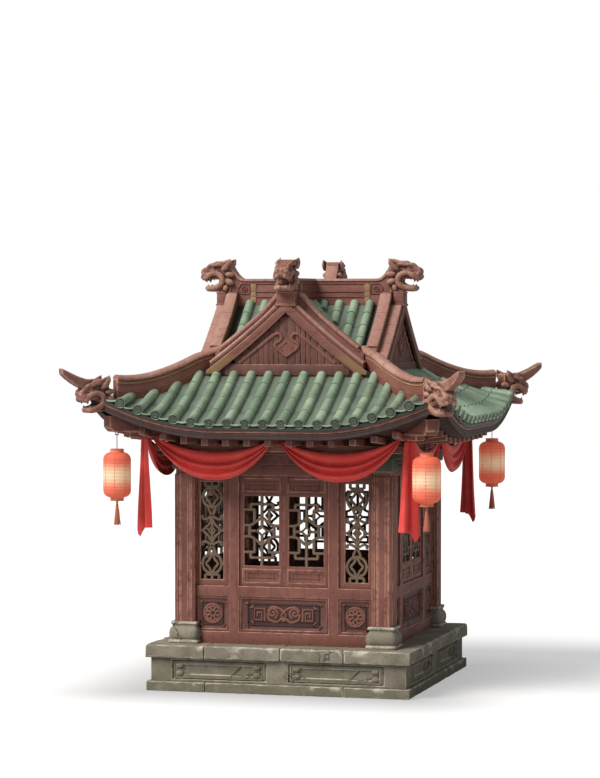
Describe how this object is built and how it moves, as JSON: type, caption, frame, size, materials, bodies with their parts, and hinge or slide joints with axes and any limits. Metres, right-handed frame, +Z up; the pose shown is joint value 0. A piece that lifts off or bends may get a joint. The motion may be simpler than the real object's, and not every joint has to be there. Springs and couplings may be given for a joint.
{
  "type": "chinese pavilion",
  "caption": "Square timber pavilion on a stone plinth with lattice windows, an upturned tiled cross-gable roof, dragon ridge ends, swinging corner lanterns and cloth drapes.",
  "frame": {"origin": "centre of the plinth's underside on the ground", "axes": "+Z up, -Y to the front, +X to the right seen from the front"},
  "size_m": [5.3974, 5.3974, 5.7394],
  "materials": {
    "stone": "rough weathered stone",
    "red_brown_wood": "aged red-brown paint",
    "dark_wood": "aged dark brown paint",
    "green_painted_wood": "aged green paint",
    "glazed_tile": "sage green glaze",
    "ridge_tile": "red-brown glaze",
    "paper": "coral paper",
    "lantern_trim": "dark red-brown",
    "iron": "dark iron",
    "red_cloth": "matt red cloth"
  },
  "bodies": {
    "pavilion": {"plinth_base_course": "stone", "plinth_dado": "stone", "plinth_cap": "stone", "column_bases": "stone", "corner_columns": "red_brown_wood", "wall_frame_front": "red_brown_wood", "wall_frame_right": "red_brown_wood", "wall_frame_back": "red_brown_wood", "wall_frame_left": "red_brown_wood", "window_sashes_front": "red_brown_wood", "window_sashes_right": "red_brown_wood", "window_sashes_back": "red_brown_wood", "window_sashes_left": "red_brown_wood", "side_windows_front": "red_brown_wood", "side_windows_right": "red_brown_wood", "side_windows_back": "red_brown_wood", "side_windows_left": "red_brown_wood", "dado_panels": "red_brown_wood", "purlins": "red_brown_wood", "rafters": "red_brown_wood", "corner_beams": "red_brown_wood", "gable_walls": "red_brown_wood", "barge_boards": "red_brown_wood", "frieze_boards": "dark_wood", "eave_boards": "dark_wood", "column_heads": "green_painted_wood", "skirt_roof_front": "glazed_tile", "skirt_roof_right": "glazed_tile", "skirt_roof_back": "glazed_tile", "skirt_roof_left": "glazed_tile", "skirt_tile_rows": "glazed_tile", "upper_roof": "glazed_tile", "rake_ridges": "ridge_tile", "main_ridges": "ridge_tile", "hip_ridges": "ridge_tile", "ridge_dragons": "ridge_tile", "hip_dragons": "ridge_tile", "lantern_hooks": "iron", "drape_swags": "red_cloth", "drape_tails": "red_cloth"},
    "lantern_front_right": {"lantern_shade_front_right": "paper", "lantern_fittings_front_right": "lantern_trim"},
    "lantern_back_right": {"lantern_shade_back_right": "paper", "lantern_fittings_back_right": "lantern_trim"},
    "lantern_back_left": {"lantern_shade_back_left": "paper", "lantern_fittings_back_left": "lantern_trim"},
    "lantern_front_left": {"lantern_shade_front_left": "paper", "lantern_fittings_front_left": "lantern_trim"}
  },
  "joints": [
    {"name": "lantern_front_right_swing", "type": "hinge", "parent": "pavilion", "child": "lantern_front_right", "pos_m": [2.085, -2.085, 3.405], "axis": [0.7071, -0.7071, 0], "range_deg": [-25, 25]},
    {"name": "lantern_back_right_swing", "type": "hinge", "parent": "pavilion", "child": "lantern_back_right", "pos_m": [2.085, 2.085, 3.405], "axis": [0.7071, 0.7071, 0], "range_deg": [-25, 25]},
    {"name": "lantern_back_left_swing", "type": "hinge", "parent": "pavilion", "child": "lantern_back_left", "pos_m": [-2.085, 2.085, 3.405], "axis": [-0.7071, 0.7071, 0], "range_deg": [-25, 25]},
    {"name": "lantern_front_left_swing", "type": "hinge", "parent": "pavilion", "child": "lantern_front_left", "pos_m": [-2.085, -2.085, 3.405], "axis": [-0.7071, -0.7071, 0], "range_deg": [-25, 25]}
  ]
}
